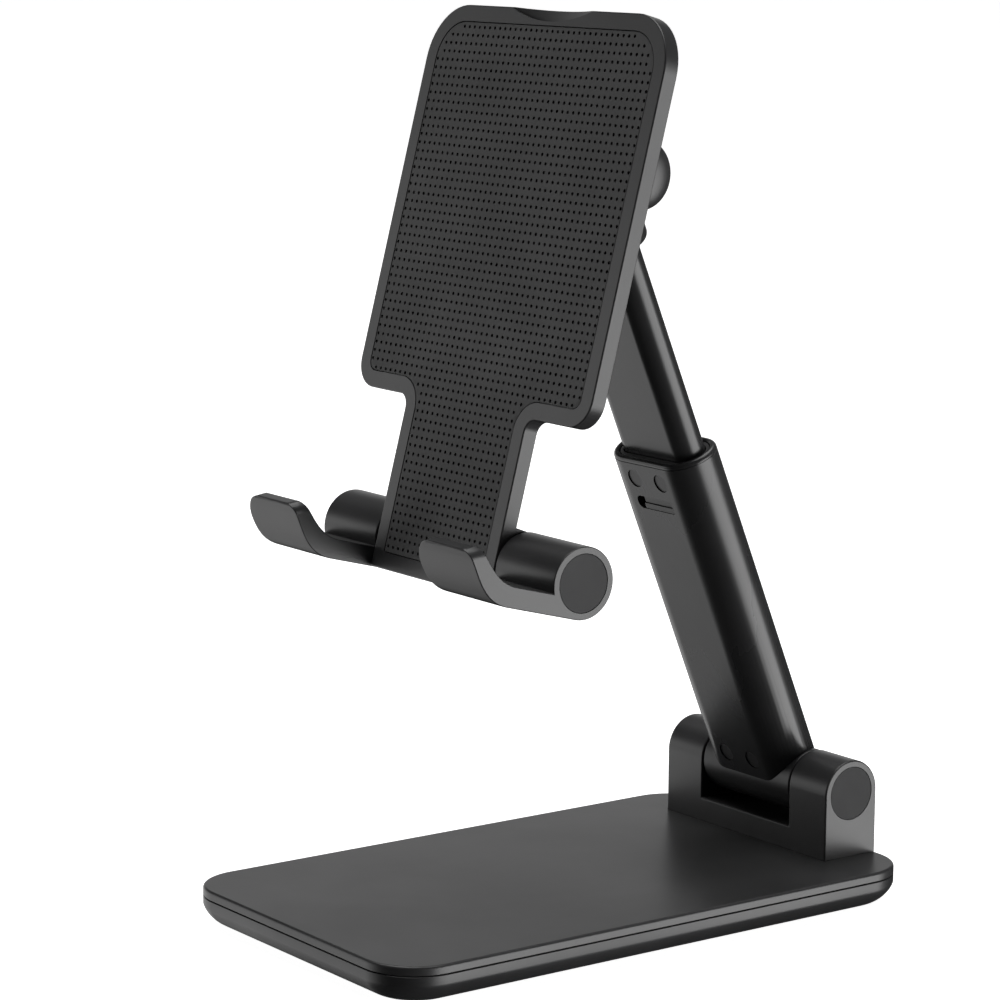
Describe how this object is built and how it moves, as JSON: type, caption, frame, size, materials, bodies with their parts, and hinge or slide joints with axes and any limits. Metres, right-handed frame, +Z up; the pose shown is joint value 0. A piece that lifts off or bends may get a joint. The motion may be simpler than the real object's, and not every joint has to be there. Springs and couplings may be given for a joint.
{
  "type": "folding phone stand",
  "caption": "Black desktop stand with a weighted base, telescopic arm, tilting textured holder plate and two fold-up hooks that carry a phone or small tablet.",
  "frame": {"origin": "centre of the base's underside, on the surface that the stand rests on", "axes": "+X to the right seen from the front, +Y to the back, +Z up; the arm rises at the back and leans forward"},
  "size_m": [0.0726, 0.121, 0.171],
  "materials": {
    "satin_black": "fine satin moulded plastic",
    "black_abs": "moulded plastic, slightly darker",
    "anodised_black": "smooth black anodised, satin gloss",
    "soft_black_rubber": "matt silicone rubber",
    "grey_cap": "matt dark grey end disc",
    "steel": "zinc plated steel",
    "black_acetal": "black acetal"
  },
  "bodies": {
    "base": {"base_top_cover": "satin_black", "base_bottom_shell": "black_abs", "base_steel_weight": "steel", "base_foot_pad": "soft_black_rubber", "base_screw_1": "steel", "base_screw_2": "steel", "base_screw_3": "steel", "base_screw_4": "steel", "hinge_block": "satin_black", "hinge_block_screw_left": "steel", "hinge_block_screw_right": "steel", "base_pivot_bolt": "steel", "base_pivot_spring_washer": "steel", "base_pivot_nut": "steel", "base_pivot_cap_left": "grey_cap", "base_pivot_cap_right": "grey_cap"},
    "lower_arm": {"arm_hinge_barrel": "black_abs", "base_pivot_washer_left": "black_acetal", "base_pivot_washer_right": "black_acetal", "arm_sleeve": "anodised_black", "arm_barrel_pin_left": "satin_black", "arm_barrel_pin_right": "satin_black", "sleeve_mouth_bush": "black_abs"},
    "upper_arm": {"inner_tube": "anodised_black", "inner_tube_glide": "black_acetal", "arm_head": "black_abs", "arm_head_pin_left": "satin_black", "arm_head_pin_right": "satin_black", "head_pivot_washer_left": "black_acetal", "head_pivot_washer_right": "black_acetal"},
    "holder": {"holder_plate": "satin_black", "holder_pad": "soft_black_rubber", "head_bracket": "black_abs", "bracket_screw_1": "steel", "bracket_screw_2": "steel", "bracket_screw_3": "steel", "bracket_screw_4": "steel", "head_pivot_bolt": "steel", "head_pivot_spring_washer": "steel", "head_pivot_nut": "steel", "head_pivot_cap_left": "satin_black", "head_pivot_cap_right": "satin_black", "hook_pin_left": "steel", "hook_pin_right": "steel"},
    "left_hook": {"hook_left": "satin_black", "hook_washer_left": "black_acetal", "hook_spring_washer_left": "steel", "hook_cap_left": "grey_cap"},
    "right_hook": {"hook_right": "satin_black", "hook_washer_right": "black_acetal", "hook_spring_washer_right": "steel", "hook_cap_right": "grey_cap"}
  },
  "joints": [
    {"name": "arm_fold", "type": "hinge", "parent": "base", "child": "lower_arm", "pos_m": [0, 0.054, 0.0205], "axis": [1, 0, 0], "range_deg": [0, 67.1]},
    {"name": "arm_slide", "type": "slide", "parent": "lower_arm", "child": "upper_arm", "axis": [0, 0.3891, -0.9212], "range_m": [0, 0.0425]},
    {"name": "panel_tilt", "type": "hinge", "parent": "upper_arm", "child": "holder", "pos_m": [0, 0.00267, 0.142], "axis": [1, 0, 0], "range_deg": [0, 37.7]},
    {"name": "left_hook_fold", "type": "hinge", "parent": "holder", "child": "left_hook", "pos_m": [-0.0276, -0.02152, 0.07227], "axis": [-1, 0, 0], "range_deg": [0, 90.1]},
    {"name": "right_hook_fold", "type": "hinge", "parent": "holder", "child": "right_hook", "pos_m": [0.0276, -0.02152, 0.07227], "axis": [-1, 0, 0], "range_deg": [0, 90.1]}
  ],
  "couplings": [
    {"joint": "panel_tilt", "follows": "arm_fold", "ratio": 0.56125},
    {"joint": "left_hook_fold", "follows": "arm_fold", "ratio": 1.3413},
    {"joint": "right_hook_fold", "follows": "arm_fold", "ratio": 1.3413}
  ]
}
